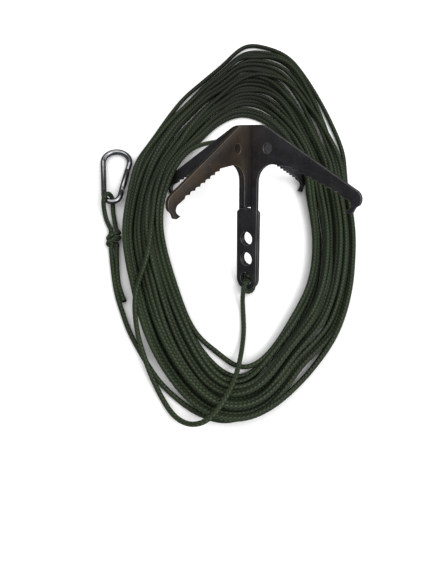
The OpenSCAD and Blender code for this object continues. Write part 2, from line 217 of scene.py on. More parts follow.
def coil_share(u):
    """How far out the cord lies after u turns: 1 is the outer outline, 0 the inner one."""
    if u < TURNS_LOW:
        return 1 - u / TURNS_LOW
    if u < TURNS_LOW + TURNS_TOP:
        return min(1.0, (u - TURNS_LOW) / (TURNS_TOP - OUTSIDE_EARLY))
    return 1 - LAST_SLIDE * float(ease((u - TURNS_LOW - TURNS_TOP) / LAST_SLIDE_TURNS))


print("share of the way out at each turn:", [round(coil_share(u), 2) for u in range(math.ceil(COIL_END))])

# %% [markdown]
# ## Stray turns
# An even coil looks machine wound. A real one has turns that leave the bundle, and these are listed one by
# one. The last turn swings wide at the top and the right while all the others draw in there, and the first
# turn lies loose at the front right. One turn hangs inwards at the top. At the front the inner turns are
# pushed outwards, all but one, and a few turns change places with their neighbours.

# %% Stray turns
WIDE_FROM, WIDE_TURNS = TURNS_LOW + TURNS_TOP - 0.95, 0.9
# Where turns draw in: by how much, and the bump's middle and half length.
DRAWN_IN = ((0.15, 6.3, 1.9), (0.06, 9.4, 0.7), (0.06, 10.1, 0.5), (0.09, 10.8, 0.6))
DRAWN_IN_AFTER_ONE = (0.20, 1.35, 0.95)
INNER_TOP, INNER_FRONT, NEAR = 11.5, 12.0, 0.3
HANGS_IN, HANGS_AT = 0.28, (9.3, 2.7)
# The turns that change places behind the head, and how far each moves over.
CROSSING = {14: 0.04, 15: -0.03, 17: 0.045, 19: 0.03, 20: -0.035}
CROSSING_LEFT, CROSSING_RIGHT = (10.9, 1.5), (8.1, 1.3)
PUSHED_OUT, PUSHED_OUT_INNERMOST, INNERMOST = 0.32, 0.20, 0.10
PUSHED_AT = (17.4, 1.7)


def strays(u, s, f):
    """What a turn that lies at f adds to its share there."""
    if WIDE_FROM < u < WIDE_FROM + WIDE_TURNS:
        return 0.0
    inset = -f * sum(depth * bump_at(s, middle, half) for depth, middle, half in DRAWN_IN)
    if u > 1:
        depth, middle, half = DRAWN_IN_AFTER_ONE
        inset -= f * depth * bump_at(s, middle, half)
    if abs(u - INNER_TOP) < NEAR:
        return -HANGS_IN * bump_at(s, *HANGS_AT)
    if abs(u - INNER_FRONT) < NEAR:
        return inset
    if int(u) in CROSSING:
        inset += CROSSING[int(u)] * (bump_at(s, *CROSSING_LEFT) - bump_at(s, *CROSSING_RIGHT))
    push = PUSHED_OUT if coil_share(u) > INNERMOST else PUSHED_OUT_INNERMOST
    return inset + (1 - f) * push * bump_at(s, *PUSHED_AT)


print("turns that cross:", sorted(CROSSING))

# %% [markdown]
# ## The coil from above
# Behind the anchor's head the coil is narrow and flat, and its two layers lie side by side. There each pass
# has a place of its own, counted from the outside, and it drifts less. Near its outlines the coil drifts
# less too, which keeps its edges clean.

# %% The coil from above
TOP_AT = (9.4, 4.2)
TOP_TURNS = (1, 21)
TOP_OUTSIDE, TOP_PLACE, TOP_INSIDE = 0.91, 0.048, 0.01
TOP_CALM = 0.75
EDGE_RISE, EDGE_FREE = 5, 0.1
END_TURNS, END_FREE = 0.6, 0.2
COIL_MIDDLE, INNER_ROOM = np.array([0.0, 40.0]), 105.0
PER_TURN, KEEP_EVERY = 160, 4
STEP, SPREAD = 4.0, 2.0


def at_the_top(u):
    """Share of a pass behind the head: each layer takes every second place across."""
    turn = math.floor(u)
    place = 2 * (turn - TOP_TURNS[0]) if u < TURNS_LOW else 2 * (TOP_TURNS[1] - 1 - turn) + 1
    return max(TOP_INSIDE, TOP_OUTSIDE - TOP_PLACE * place)


def share_at(u, s):
    """Share of the way out after u turns, at station s, with drift, places at the top and strays."""
    f = coil_share(u)
    free = min(1, EDGE_RISE * f + EDGE_FREE, EDGE_RISE * (1 - f) + EDGE_FREE)
    if u >= COIL_END - END_TURNS:
        free = END_FREE
    top = bump_at(s, *TOP_AT) if TOP_TURNS[0] < u < TOP_TURNS[1] else 0.0
    drift = (1 - TOP_CALM * top) * free * wander(u, 2 * math.pi * (u % 1.0))
    f = f + top * (at_the_top(u) - f) + drift
    return f + strays(u, s, f)


def coil_point(u):
    """The cord's place after u turns. Inside the inner outline it moves towards the coil's middle."""
    s = STATIONS * (u % 1.0)
    f = share_at(u, s)
    inner, outer = ring_at(COIL_IN, s), ring_at(COIL_OUT, 2 * s)
    if f < 0:
        way = COIL_MIDDLE - inner
        outer = inner - way * INNER_ROOM / np.linalg.norm(way)
    return tuple(inner * (1 - f) + outer * f)


coil = [coil_point(u) for u in np.arange(0, COIL_END, 1 / PER_TURN)][KEEP_EVERY::KEEP_EVERY]
plan = softened(smooth_line(KNOT_TO_COIL + coil + COIL_TO_ANCHOR, STEP), SPREAD)
print("plan of the line:", len(plan), "steps,", round(len(plan) * STEP / 1000, 2), "m")

# %% [markdown]
# ## Over the claws
# The coil passes over the two rear arms. An arm is a tilted strip, so the height of its upper face is worked
# out from the plate's outline in the wing's own directions: r away from the shank, and v down the shank
# from the head. Casting rays down on the solid would also do, but it catches on the teeth.

# %% Height over a rear arm, in millimetres
# The anchor's lean, and how far it is lifted and moved back from its head to stand on the floor.
LEAN, LIFT, SHIFT = math.radians(39.2494), 108.760, 60.3728
SHEET_T = 3.5
ARM_FROM, ARM_TO = 50, 122
TOP_LINE_ZERO, TOP_LINE_SLOPE, TOP_LINE_TO = 18.1, 0.573, 113.5
TEETH_FROM, TEETH_LONG, DEPTH, DEPTH_LESS = 50.6, 46.7, 21, 7.6
CLAW_FROM, CLAW_V = 103, 74
BEFORE_ARM, AFTER_ARM, CORD_OVER = 5, 4, 3.6


def claw_height(x, y):
    """Height that the cord's middle needs where it passes over one of the two rear arms."""
    r = math.sqrt(2) * abs(x) - SHEET_T / 2
    if r < ARM_FROM or r > ARM_TO:
        return 0.0
    v_top = (min(r, TOP_LINE_TO) - TOP_LINE_ZERO) * TOP_LINE_SLOPE
    v_low = CLAW_V if r > CLAW_FROM else v_top + DEPTH - DEPTH_LESS * (r - TEETH_FROM) / TEETH_LONG
    n = (r + SHEET_T) / math.sqrt(2)
    v = (n * math.sin(LEAN) + SHIFT - y) / math.cos(LEAN)
    if v < v_top - BEFORE_ARM or v > v_low + AFTER_ARM:
        return 0.0
    v = min(max(v, v_top), v_low)
    return -n * math.cos(LEAN) - v * math.sin(LEAN) + LIFT + CORD_OVER


over_claws = [claw_height(*p) for p in plan]
print(sum(h > 0 for h in over_claws), "steps over the claws, up to", round(max(over_claws), 1), "mm")

# %% [markdown]
# ## Heights
# The cord is laid down a short stretch at a time. Soft cord flattens a little where it rests on cord, so
# two strands come closer than their thickness. After each stretch the slopes are limited and rounded.

# %% Heights
# Counted in steps of the plan: the cord never rests on its own last few steps.
STRETCH, LOOK_BACK, OWN_STEPS = 40, 30, 12
# In millimetres. The plan is sorted into squares, so that only near strands are looked at.
SQUARE, STACKED, RESTS_WITHIN, SINKS = 6, 4.4, 3.5, 0.7
STEEPEST = 0.36
ROUNDING = np.array([1, 2, 3, 4, 3, 2, 1]) / 16


def gentle(z, slope):
    """Raises z so that it never changes faster than slope, and rounds it off."""
    z = z.copy()
    for i in range(1, len(z)):
        z[i] = max(z[i], z[i - 1] - slope)
    for i in range(len(z) - 2, -1, -1):
        z[i] = max(z[i], z[i + 1] - slope)
    wide = np.maximum(z, np.maximum(np.roll(z, 1), np.roll(z, -1)))
    wide[0], wide[-1] = z[0], z[-1]
    soft = np.convolve(np.pad(wide, len(ROUNDING) // 2, mode="edge"), ROUNDING, "valid")
    return np.maximum(soft, z - SINKS)


def square_of(p):
    return int(p[0] // SQUARE), int(p[1] // SQUARE)


def height_on_cord(xy, z, i, squares):
    """Height of step i on the cord that lies under it, or 0 where there is none."""
    across, along = square_of(xy[i])
    best = 0.0
    for near in ((across + a, along + b) for a in (-1, 0, 1) for b in (-1, 0, 1)):
        for j in squares.get(near, ()):
            flat = math.hypot(xy[i][0] - xy[j][0], xy[i][1] - xy[j][1])
            if i - j >= OWN_STEPS and flat < RESTS_WITHIN:
                best = max(best, z[j] + math.sqrt(STACKED ** 2 - flat ** 2))
    return best


def lay_down(xy, over):
    """Height of the cord's middle at each step of the plan, laid down in order."""
    z = np.full(len(xy), ROPE_D / 2)
    squares = {}
    for start in range(0, len(xy), STRETCH):
        stretch = range(start, min(start + STRETCH, len(xy)))
        for i in stretch:
            z[i] = max(ROPE_D / 2, over[i], height_on_cord(xy, z, i, squares))
        recent = slice(max(0, start - LOOK_BACK), stretch.stop)
        z[recent] = gentle(z[recent], STEEPEST * STEP)
        for i in stretch:
            squares.setdefault(square_of(xy[i]), []).append(i)
    return z


height = lay_down(plan, over_claws)
print("highest point of the coil:", round(float(height.max()), 1), "mm")

# %% [markdown]
# ## The hitch
# Through the last hole of the tang the cord takes a turn and a quarter round the steel left below the hole,
# and its end is tucked into the hole. The turns are given in the plate's own directions, across it, off its
# face and down the shank, and then set on the floor's axes with the same lean as the plate. Drawn straight
# in the floor's axes they would be hard to keep clear of the steel.

# %% A turn and a quarter round the end of the tang
HITCH = [
    (2.6, 12.6, 174), (2.8, 12.7, 170.5), (2.9, 12.3, 166.5), (2.9, 11.7, 162.5), (2.8, 10.4, 158.6),
    (2.8, 7.4, 156.3), (2.6, 3.2, 155.2), (2.6, -1.5, 155.2), (2.7, -5, 157.4), (2.9, -6.5, 161),
    (3.2, -5.8, 164.5), (3.2, -3.3, 166.7), (2.7, 0, 167.5), (1.9, 3.6, 166.7), (1.1, 6, 164.3),
    (0.4, 6.6, 161), (-1.4, 5.6, 157.9), (-2.3, 2.6, 156), (-2.8, -1.5, 155.6), (-4.1, -2.4, 153),
    (-3.6, -1.2, 150.4), (-1.2, 0.2, 149.3), (1.8, 0.8, 149.5), (4.1, 1, 150.7)]
RISES_FROM = (-7.0, -85.8, 4.5)
HITCH_STEP, RING_STEP = 2.0, 3.0


def placed(u, w, v):
    """A point of the plate, set on the floor's axes."""
    x, n = (u - w) / math.sqrt(2), (u + w) / math.sqrt(2)
    y = -v * math.cos(LEAN) - n * math.sin(LEAN) + SHIFT
    return x, y, n * math.cos(LEAN) - v * math.sin(LEAN) + LIFT


laid = np.column_stack([plan, height])
hitch = smooth_line([tuple(laid[-2]), tuple(laid[-1]), RISES_FROM] + [placed(*q) for q in HITCH], HITCH_STEP)
coil_and_hitch = np.concatenate([laid, hitch[2:]])
coil_and_hitch = smooth_line(coil_and_hitch[:-1:2].tolist() + [coil_and_hitch[-1].tolist()], RING_STEP)
print("coil and hitch:", round(run_along(coil_and_hitch)[-1] / 1000, 2), "m")

# %% [markdown]
# ## The knot and the loop on the hook
# The line comes up to the knot, goes straight through it and on to the hook, passes over the hook's wire and
# back under it, and returns beside itself. There it is wrapped round the line almost twice, on a slant, and
# its cut end comes out beside the line. It is the same cord all the way, so it is one tube with the rest.
# It is listed here from the knot to the cut end, and then turned round.

# %% Knot, loop and cut end, in millimetres
THROUGH_KNOT = [(-142.9, -9, 4.4), (-142.3, -5, 5.0), (-142.9, -1, 4.5)]
HOOK_LEG = [
    (-144.2, 3.5, 3.6), (-144.2, 9.5, 3.4), (-146.6, 15, 2.8), (-149.2, 22, 2.8), (-150.8, 29, 3.6),
    (-151.5, 34.5, 6.8), (-151.4, 39, 10.9), (-150.4, 43.2, 13.8), (-148.2, 47.4, 13.8),
    (-145.4, 49.8, 10.8), (-143.4, 49, 6.6), (-142.5, 45.6, 3.3), (-142.3, 40, 2.6), (-141.8, 31, 2.6),
    (-140.6, 22, 2.6), (-138.4, 9.5, 3.6)]
TAIL = [
    (-138, -14.5, 3), (-138, -21, 3), (-137.5, -40, 2.6), (-135.8, -56, 2.6), (-132.5, -68, 2.8),
    (-130.3, -75, 3.1)]
KNOT_X, KNOT_Y, KNOT_Z = -140.7, 2.0, 5.7
KNOT_WIDE, KNOT_HIGH, KNOT_PITCH, KNOT_SLANT = 6.1, 3.2, 6.4, 1.8
WRAP_DEGREES = range(20, 661, 20)
KNOT_STEP = 1.6


def wrap_point(degrees):
    t = math.radians(degrees)
    return (KNOT_X + KNOT_WIDE * math.cos(t),
            KNOT_Y - KNOT_PITCH * degrees / 360 + KNOT_SLANT * math.cos(t),
            KNOT_Z + KNOT_HIGH * math.sin(t))


knot_and_loop = THROUGH_KNOT + HOOK_LEG + [wrap_point(a) for a in WRAP_DEGREES] + TAIL
start_of_line = smooth_line(knot_and_loop[::-1] + [tuple(coil_and_hitch[0])], KNOT_STEP)
LINE_PATH = np.concatenate([start_of_line[:-1], coil_and_hitch])
print("loop and knot add", round(len(start_of_line) * KNOT_STEP), "mm")

# %% [markdown]
# ## Cord as a mesh tube
# A curve with a bevel would give the round shape, but a braid has to follow the cord, so the tube is built
# ring by ring and each corner gets two numbers in its UV map: how far round the cord, and how far along it
# in metres. The rings are carried along without twisting, which keeps the braid straight. The cut end is a
# little wider than the rest, because a braid opens where it is cut.

# %% Tube builder
TUBE_SIDES = 12
FLARE, FLARE_LONG = 0.18, 0.003
END_DOME = 0.25
END_UV = (0.5, 0.55, 0.52)
NOT_ALONG = (0.1, 0.05, 1.0)


def carried_frames(path):
    """For each point the way along the cord, and two directions square to it that never twist."""
    way = np.gradient(path, axis=0)
    way /= np.linalg.norm(way, axis=1)[:, None]
    side = np.cross(way[0], NOT_ALONG)
    sides = []
    for w in way:
        side = side - side.dot(w) * w
        side /= np.linalg.norm(side)
        sides.append(side)
    sides = np.array(sides)
    return way, sides, np.cross(way, sides)


def wall_faces(rings, run):
    """The faces between the rings, with their places in the UV map."""
    faces, uvs = [], []
    for i in range(rings - 1):
        for k in range(TUBE_SIDES):
            this, after = i * TUBE_SIDES, (i + 1) * TUBE_SIDES
            m = (k + 1) % TUBE_SIDES
            faces.append((this + k, this + m, after + m, after + k))
            a, b = k / TUBE_SIDES, (k + 1) / TUBE_SIDES
            uvs += [(a, run[i]), (b, run[i]), (b, run[i + 1]), (a, run[i + 1])]
    return faces, uvs


def cord_mesh(name, path_mm, diameter_mm, mat):
    path = np.array(path_mm, float) / 1000
    way, side, up = carried_frames(path)
    run = run_along(path)
    radius = diameter_mm / 2000
    flared = radius * (1 + FLARE * np.exp(-(run / FLARE_LONG) ** 2))
    turn = 2 * np.pi * np.arange(TUBE_SIDES) / TUBE_SIDES
    around = np.cos(turn)[None, :, None] * side[:, None] + np.sin(turn)[None, :, None] * up[:, None]
    verts = (path[:, None] + flared[:, None, None] * around).reshape(-1, 3).tolist()
    faces, uvs = wall_faces(len(path), run)
    forwards, backwards = range(TUBE_SIDES), range(TUBE_SIDES - 1, -1, -1)
    for i, out, order in ((0, -way[0], backwards), (len(path) - 1, way[-1], forwards)):
        verts.append((path[i] + out * radius * END_DOME).tolist())
        for q in range(TUBE_SIDES):
            a, b = order[q], order[(q + 1) % TUBE_SIDES]
            faces.append((i * TUBE_SIDES + a, i * TUBE_SIDES + b, len(verts) - 1))
            uvs += [(u, run[i]) for u in END_UV]
    mesh = bpy.data.meshes.new(name)
    mesh.from_pydata(verts, [], faces)
    mesh.uv_layers.new(name="lay").data.foreach_set("uv", np.array(uvs, np.float32).ravel())
    mesh.polygons.foreach_set("use_smooth", [True] * len(faces))
    mesh.update()
    mesh.materials.append(mat)
    obj = bpy.data.objects.new(name, mesh)
    scene.collection.objects.link(obj)
    print(name, "tube:", len(path), "rings,", round(run[-1], 3), "m")
    return obj


# %% [markdown]
# ## Node helpers
# A material is a tree of nodes, and each of these helpers adds one node and gives back what it puts out, so
# a material reads from top to bottom like a recipe. A value can be a number, a colour or another node's
# output. Shader groups are built once with the same helpers and placed in each material that needs them.

# %% Node helpers
def new_group(name, inputs, outputs):
    group = bpy.data.node_groups.new(name, "ShaderNodeTree")
    for label, value in inputs:
        kind = "NodeSocketFloat" if isinstance(value, float) else "NodeSocketVector"
        group.interface.new_socket(name=label, in_out="INPUT", socket_type=kind).default_value = value
    for label in outputs:
        group.interface.new_socket(name=label, in_out="OUTPUT", socket_type="NodeSocketFloat")
    return group, group.nodes.new("NodeGroupInput").outputs, group.nodes.new("NodeGroupOutput").inputs


def put(tree, socket, value):
    if isinstance(value, bpy.types.NodeSocket):
        tree.links.new(value, socket)
    else:
        socket.default_value = value


def calc(tree, op, *args):
    node = tree.nodes.new("ShaderNodeMath")
    node.operation = op
    for socket, value in zip(node.inputs, args):
        put(tree, socket, value)
    return node.outputs[0]


def times(tree, a, b):
    return calc(tree, "MULTIPLY", a, b)


def mix(tree, share, a, b):
    node = tree.nodes.new("ShaderNodeMix")
    node.data_type = "RGBA"
    for socket, value in ((node.inputs[0], share), (node.inputs[6], a), (node.inputs[7], b)):
        put(tree, socket, value)
    return node.outputs[2]


def tinted(tree, base, tint, mask, share):
    """The base with a colour over it where the mask is, at most by share."""
    return mix(tree, times(tree, mask, share), base, tint)


def noise(tree, vector, scale, detail=3.0, roughness=0.5):
    node = tree.nodes.new("ShaderNodeTexNoise")
    for label, value in (("Scale", scale), ("Detail", detail), ("Roughness", roughness), ("Vector", vector)):
        put(tree, node.inputs[label], value)
    return node.outputs["Fac"]


def span(tree, value, low, high, out_low=0.0, out_high=1.0):
    """Turns low to high into out_low to out_high, smoothly."""
    node = tree.nodes.new("ShaderNodeMapRange")
    node.interpolation_type = "SMOOTHSTEP"
    for socket, v in zip(node.inputs, (value, low, high, out_low, out_high)):
        put(tree, socket, v)
    return node.outputs[0]


def stretched(tree, vector, scale):
    node = tree.nodes.new("ShaderNodeMapping")
    node.inputs["Scale"].default_value = scale
    tree.links.new(vector, node.inputs["Vector"])
    return node.outputs["Vector"]


def split(tree, vector):
    node = tree.nodes.new("ShaderNodeSeparateXYZ")
    tree.links.new(vector, node.inputs[0])
    return node.outputs


def use_group(tree, group, **values):
    node = tree.nodes.new("ShaderNodeGroup")
    node.node_tree = group
    for label, value in values.items():
        put(tree, node.inputs[label], value)
    return node.outputs


# %% Materials and colours
def material(name):
    mat = bpy.data.materials.new(name)
    mat.use_nodes = True
    tree = mat.node_tree
    return mat, tree, tree.nodes["Principled BSDF"], tree.nodes.new("ShaderNodeTexCoord").outputs["Object"]


def bump(tree, shader, height, distance, strength):
    node = tree.nodes.new("ShaderNodeBump")
    node.inputs["Distance"].default_value = distance
    node.inputs["Strength"].default_value = strength
    put(tree, node.inputs["Height"], height)
    tree.links.new(node.outputs["Normal"], shader.inputs["Normal"])


def linear(c):
    return ((c / 255 + 0.055) / 1.055) ** 2.4 if c > 10 else c / 3294.6


def colour(r, g, b):
    """A colour given as it is seen on a screen, from 0 to 255, as linear light."""
    return linear(r), linear(g), linear(b), 1.0


print("mid grey is", round(linear(128), 3), "in linear light")

# %% [markdown]
# ## Braid
# The cord is a braid of flat yarns: four spiral round it one way and four the other, and they pass over and
# under each other, which gives rows of small diamonds. Real yarns on 23 m of cord would be millions of
# faces, so a shader group works the braid out from the cord's UV map, as a height, a mask of the gaps
# between the yarns, and a tone that tells the two sets of yarns apart.

# %% Braid
YARNS, BRAID_PITCH = 4.0, 0.0042
PRESSED, GAP_HEIGHTS = 0.45, (0.05, 0.55)


def make_braid():
    tree, given, out = new_group(
        "braid", [("Around", 0.0), ("Along", 0.0), ("Diamonds", YARNS), ("Pitch", BRAID_PITCH)],
        ("Height", "Gap", "Yarn"))
    around = times(tree, given["Around"], given["Diamonds"])
    along = calc(tree, "DIVIDE", given["Along"], given["Pitch"])
    right = calc(tree, "ADD", around, along)
    left = calc(tree, "SUBTRACT", around, along)
    steps = calc(tree, "ADD", calc(tree, "FLOOR", right), calc(tree, "FLOOR", left))
    over = calc(tree, "FLOORED_MODULO", steps, 2.0)
    ridge_right = calc(tree, "ABSOLUTE", calc(tree, "SINE", times(tree, right, math.pi)))
    ridge_left = calc(tree, "ABSOLUTE", calc(tree, "SINE", times(tree, left, math.pi)))
    yarn_right = times(tree, ridge_right, calc(tree, "MULTIPLY_ADD", ridge_left, PRESSED, 1 - PRESSED))
    yarn_left = times(tree, ridge_left, calc(tree, "MULTIPLY_ADD", ridge_right, PRESSED, 1 - PRESSED))
    on_top_right = times(tree, yarn_right, over)
    on_top_left = times(tree, yarn_left, calc(tree, "SUBTRACT", 1.0, over))
    height = calc(tree, "ADD", on_top_right, on_top_left)
    put(tree, out["Height"], height)
    put(tree, out["Gap"], span(tree, height, *GAP_HEIGHTS, 1.0, 0.0))
    put(tree, out["Yarn"], over)
    return tree


BRAID = make_braid()
print("braid puts out:", [socket.name for socket in BRAID.nodes["Group Output"].inputs if socket.name])

# %% [markdown]
# ## Metal wear
# Rolled steel and plated wire both show faint streaks along the way they were drawn, cloudy stains, a few
# fine scratches and a fine grain. Each is noise at its own scale, stretched where it has a direction. One
# group holds the four, and each metal takes those that it shows, at its own strength.

# %% Metal wear
STREAK_STRETCH, STREAK_RANGE = (900, 60, 60), (0.32, 0.70)
STAIN_SCALE, STAIN_RANGE = 38.0, (0.36, 0.68)
SCRATCH_STRETCH, SCRATCH_RANGE = (60, 1400, 300), (0.66, 0.74)
GRAIN_SCALE = 900.0


def make_wear():
    tree, given, out = new_group("wear", [("Place", (0.0, 0.0, 0.0)), ("Scale", 1.0)],
                                 ("Streak", "Stain", "Scratch", "Grain"))
    scaled = tree.nodes.new("ShaderNodeVectorMath")
    scaled.operation = "SCALE"
    put(tree, scaled.inputs[0], given["Place"])
    put(tree, scaled.inputs["Scale"], given["Scale"])
    place = scaled.outputs[0]
    streaks = noise(tree, stretched(tree, place, STREAK_STRETCH), scale=1.0, detail=4, roughness=0.6)
    put(tree, out["Streak"], span(tree, streaks, *STREAK_RANGE))
    stains = noise(tree, place, STAIN_SCALE, detail=5, roughness=0.6)
    put(tree, out["Stain"], span(tree, stains, *STAIN_RANGE))
    scratches = noise(tree, stretched(tree, place, SCRATCH_STRETCH), scale=1.0, detail=2, roughness=0.7)
    put(tree, out["Scratch"], span(tree, scratches, *SCRATCH_RANGE))
    put(tree, out["Grain"], noise(tree, place, GRAIN_SCALE, detail=3, roughness=0.6))
    return tree


WEAR = make_wear()
print("groups:", [g.name for g in bpy.data.node_groups])

# %% [markdown]
# ## Cord material
# The cord is dark olive polypropylene. The yarns have a slight sheen, the gaps between them are painted
# almost black as painted shade, and the cord is dustier and more faded on some stretches than on others.
# Behind the anchor's head it is painted darker, as painted shade. All of it is colour over colour on one
# plain shader, so that it exports as it looks.

# %% Cord material
OLIVE, OLIVE_DUSTY, OLIVE_FADED = colour(37, 49, 29), colour(49, 61, 40), colour(44, 51, 45)
YARN_LIGHT, FIBRE_DARK = colour(80, 95, 63), colour(26, 35, 22)
# Painted shade colours: the first darkens the gaps between the yarns, the second the cord behind the head.
GAP_SHADE, HEAD_SHADE_DARK = colour(6, 11, 4), colour(6, 9, 5)
FIBRE_SCALE = 1500.0
DUST_SCALE, DUST_RANGE = 22.0, (0.35, 0.7)
FADED_SCALE, FADED_RANGE = 9.0, (0.4, 0.65)
# Painted shade: the cord behind the anchor's head is darkened towards the far end, most near the middle.
HEAD_SHADE_FROM_Y, HEAD_SHADE_SHARE = (0.10, 0.20), 0.62
HEAD_SHADE_MIDDLE_X, HEAD_SHADE_HALF_X, HEAD_SHADE_AT_SIDES = 0.012, (0.025, 0.085), 0.35
ROUGH_GAPS, ROUGH_YARNS, BRAID_DEPTH = 0.85, 0.5, 0.0004


def make_cord_material():
    mat, tree, shader, place = material("olive_cord")
    uv = tree.nodes.new("ShaderNodeUVMap")
    uv.uv_map = "lay"
    lay = split(tree, uv.outputs["UV"])
    braid = use_group(tree, BRAID, Around=lay["X"], Along=lay["Y"])
    fibre = noise(tree, place, FIBRE_SCALE, detail=2)
    dust = span(tree, noise(tree, place, DUST_SCALE, detail=4, roughness=0.6), *DUST_RANGE)
    faded = span(tree, noise(tree, place, FADED_SCALE, detail=2), *FADED_RANGE)
    base = mix(tree, dust, OLIVE, OLIVE_DUSTY)
    base = tinted(tree, base, OLIVE_FADED, mask=faded, share=0.6)
    base = tinted(tree, base, YARN_LIGHT, mask=braid["Yarn"], share=0.5)
    base = tinted(tree, base, FIBRE_DARK, mask=fibre, share=0.30)
    # Painted shade in the gaps between the yarns, darkened almost to black.
    base = tinted(tree, base, GAP_SHADE, mask=braid["Gap"], share=0.9)
    at = split(tree, place)
    # Painted shade behind the anchor's head, strongest near the middle across.
    off_axis = calc(tree, "ABSOLUTE", calc(tree, "SUBTRACT", at["X"], HEAD_SHADE_MIDDLE_X))
    head_shade = times(tree, span(tree, at["Y"], *HEAD_SHADE_FROM_Y, 0.0, HEAD_SHADE_SHARE),
                 span(tree, off_axis, *HEAD_SHADE_HALF_X, 1.0, HEAD_SHADE_AT_SIDES))
    put(tree, shader.inputs["Base Color"], mix(tree, head_shade, base, HEAD_SHADE_DARK))
    put(tree, shader.inputs["Roughness"], span(tree, braid["Height"], 0.0, 1.0, ROUGH_GAPS, ROUGH_YARNS))
    shader.inputs["Specular IOR Level"].default_value = 0.35
    bump(tree, shader, braid["Height"], BRAID_DEPTH, strength=0.8)
    print(mat.name, "has", len(tree.nodes), "nodes")
    return mat


CORD_MATERIAL = make_cord_material()

# %% [markdown]
# ## The line
# The solids hold the cord as six plain pieces, cut face to face, one for each job it does. The drawn line
# stands for all six, and it rides with the anchor.

# %% The line
line = cord_mesh("line", LINE_PATH, ROPE_D, CORD_MATERIAL)
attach(line, "anchor")
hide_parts("rope_coil", "line_to_anchor", "line_to_knot", "hook_loop", "rope_tail", "loop_knot")

# %% [markdown]
# ## Metal pieces with rounded edges
# The plates are cut from thick sheet, so every edge was square until it was tumbled and used. The exact
# solid is copied, its flat faces are joined again, and each hard edge is rounded a little. A bevel modifier
# would do the same, but here the rounding can be given a colour of its own: the rounded edges are painted
# much brighter, partly as worn steel where the dark skin rubs off first and partly as painted highlight.

# %% Copies of a solid with rounded edges
HARD_EDGE, CREASE, SAME_PLANE, SAME_POINT = math.radians(32), math.radians(35), math.radians(0.8), 2e-6


def rounded_copy(node, name, width, steps, mats):
    """A copy of a solid. Its faces get the first material, and its rounded edges the last."""
    mesh = NODES[node].data.copy()
    mesh.name = name
    mesh.materials.clear()
    for mat in mats:
        mesh.materials.append(mat)
    bm = bmesh.new()
    bm.from_mesh(mesh)
    bmesh.ops.remove_doubles(bm, verts=bm.verts, dist=SAME_POINT)
    bmesh.ops.dissolve_limit(bm, angle_limit=SAME_PLANE, verts=bm.verts, edges=bm.edges)
    for face in bm.faces:
        face.material_index = 0
    hard = [e for e in bm.edges if len(e.link_faces) == 2 and e.calc_face_angle(0) > HARD_EDGE]
    bmesh.ops.bevel(bm, geom=hard, offset=width, offset_type="OFFSET", segments=steps, profile=0.5,
                    affect="EDGES", clamp_overlap=True, material=len(mats) - 1)
    bm.to_mesh(mesh)
    bm.free()
    mesh.polygons.foreach_set("use_smooth", [True] * len(mesh.polygons))
    mesh.set_sharp_from_angle(angle=CREASE)
    obj = bpy.data.objects.new(name, mesh)
    scene.collection.objects.link(obj)
    print(name, "from", node, len(mesh.polygons), "faces,", len(hard), "edges rounded")
    return obj


# %% [markdown]
# ## Claw steel
# The plates are dark, oiled steel with faint rolling streaks and stains. Towards the head the left side has
# a warm brown cast, as heat leaves, and the fold where the plates meet is painted darker, as painted shade.
# Both are masks made from the place on the piece, so they stay where they are in every view.

# %% Claw steel
# The second colour is painted shade for the fold where the plates meet.
SCRATCH_BRIGHT, FOLD_SHADE = colour(140, 138, 132), colour(22, 21, 20)
HEAT_Z, HEAT_X, HEAT_FAINT = (0.062, 0.104), (0.016, -0.010), 0.10
FOLD_X, FOLD_Z, FOLD_ROUGH = (0.0002, 0.0026), (0.058, 0.062), 0.9
STEEL_METALLIC, STEEL_GRAIN, STAIN_ROUGH = 0.5, 0.00012, 0.18


def make_steel(name, dark, light, warm, rough, grain_depth):
    mat, tree, shader, place = material(name)
    wear = use_group(tree, WEAR, Place=place)
    at = split(tree, place)
    near_head = span(tree, at["Z"], *HEAT_Z)
    left = span(tree, at["X"], *HEAT_X, HEAT_FAINT, 1.0)
    heat = times(tree, times(tree, near_head, left), calc(tree, "MULTIPLY_ADD", wear["Stain"], 0.6, 0.4))
    in_fold = span(tree, calc(tree, "ABSOLUTE", at["X"]), *FOLD_X, 1.0, 0.0)
    fold = times(tree, in_fold, span(tree, at["Z"], *FOLD_Z))
    base = mix(tree, wear["Stain"], dark, light)
    base = tinted(tree, base, light, mask=wear["Streak"], share=0.3)
    base = tinted(tree, base, warm, mask=heat, share=0.9)
    base = tinted(tree, base, SCRATCH_BRIGHT, mask=wear["Scratch"], share=0.45)
    # Painted shade along the fold where the plates meet.
    base = tinted(tree, base, FOLD_SHADE, mask=fold, share=0.6)
    put(tree, shader.inputs["Base Color"], base)
    rough_here = calc(tree, "MULTIPLY_ADD", wear["Stain"], STAIN_ROUGH, rough)
    put(tree, shader.inputs["Roughness"], calc(tree, "MAXIMUM", rough_here, times(tree, fold, FOLD_ROUGH)))
    shader.inputs["Metallic"].default_value = STEEL_METALLIC
    skin = calc(tree, "ADD", wear["Grain"], times(tree, wear["Streak"], 0.5))
    bump(tree, shader, skin, STEEL_GRAIN, grain_depth)
    print(name, "has", len(tree.nodes), "nodes")
    return mat


STEEL = make_steel("claw_steel", dark=colour(44, 44, 47), light=colour(62, 62, 66),
                   warm=colour(70, 57, 42), rough=0.36, grain_depth=0.5)
# Painted highlight, partly worn steel: the rounded edges are much brighter than the faces.
STEEL_EDGE_HIGHLIGHT = make_steel("claw_steel_edge_highlight", dark=colour(120, 119, 117), light=colour(158, 156, 152),
                        warm=colour(140, 118, 92), rough=0.34, grain_depth=0.3)

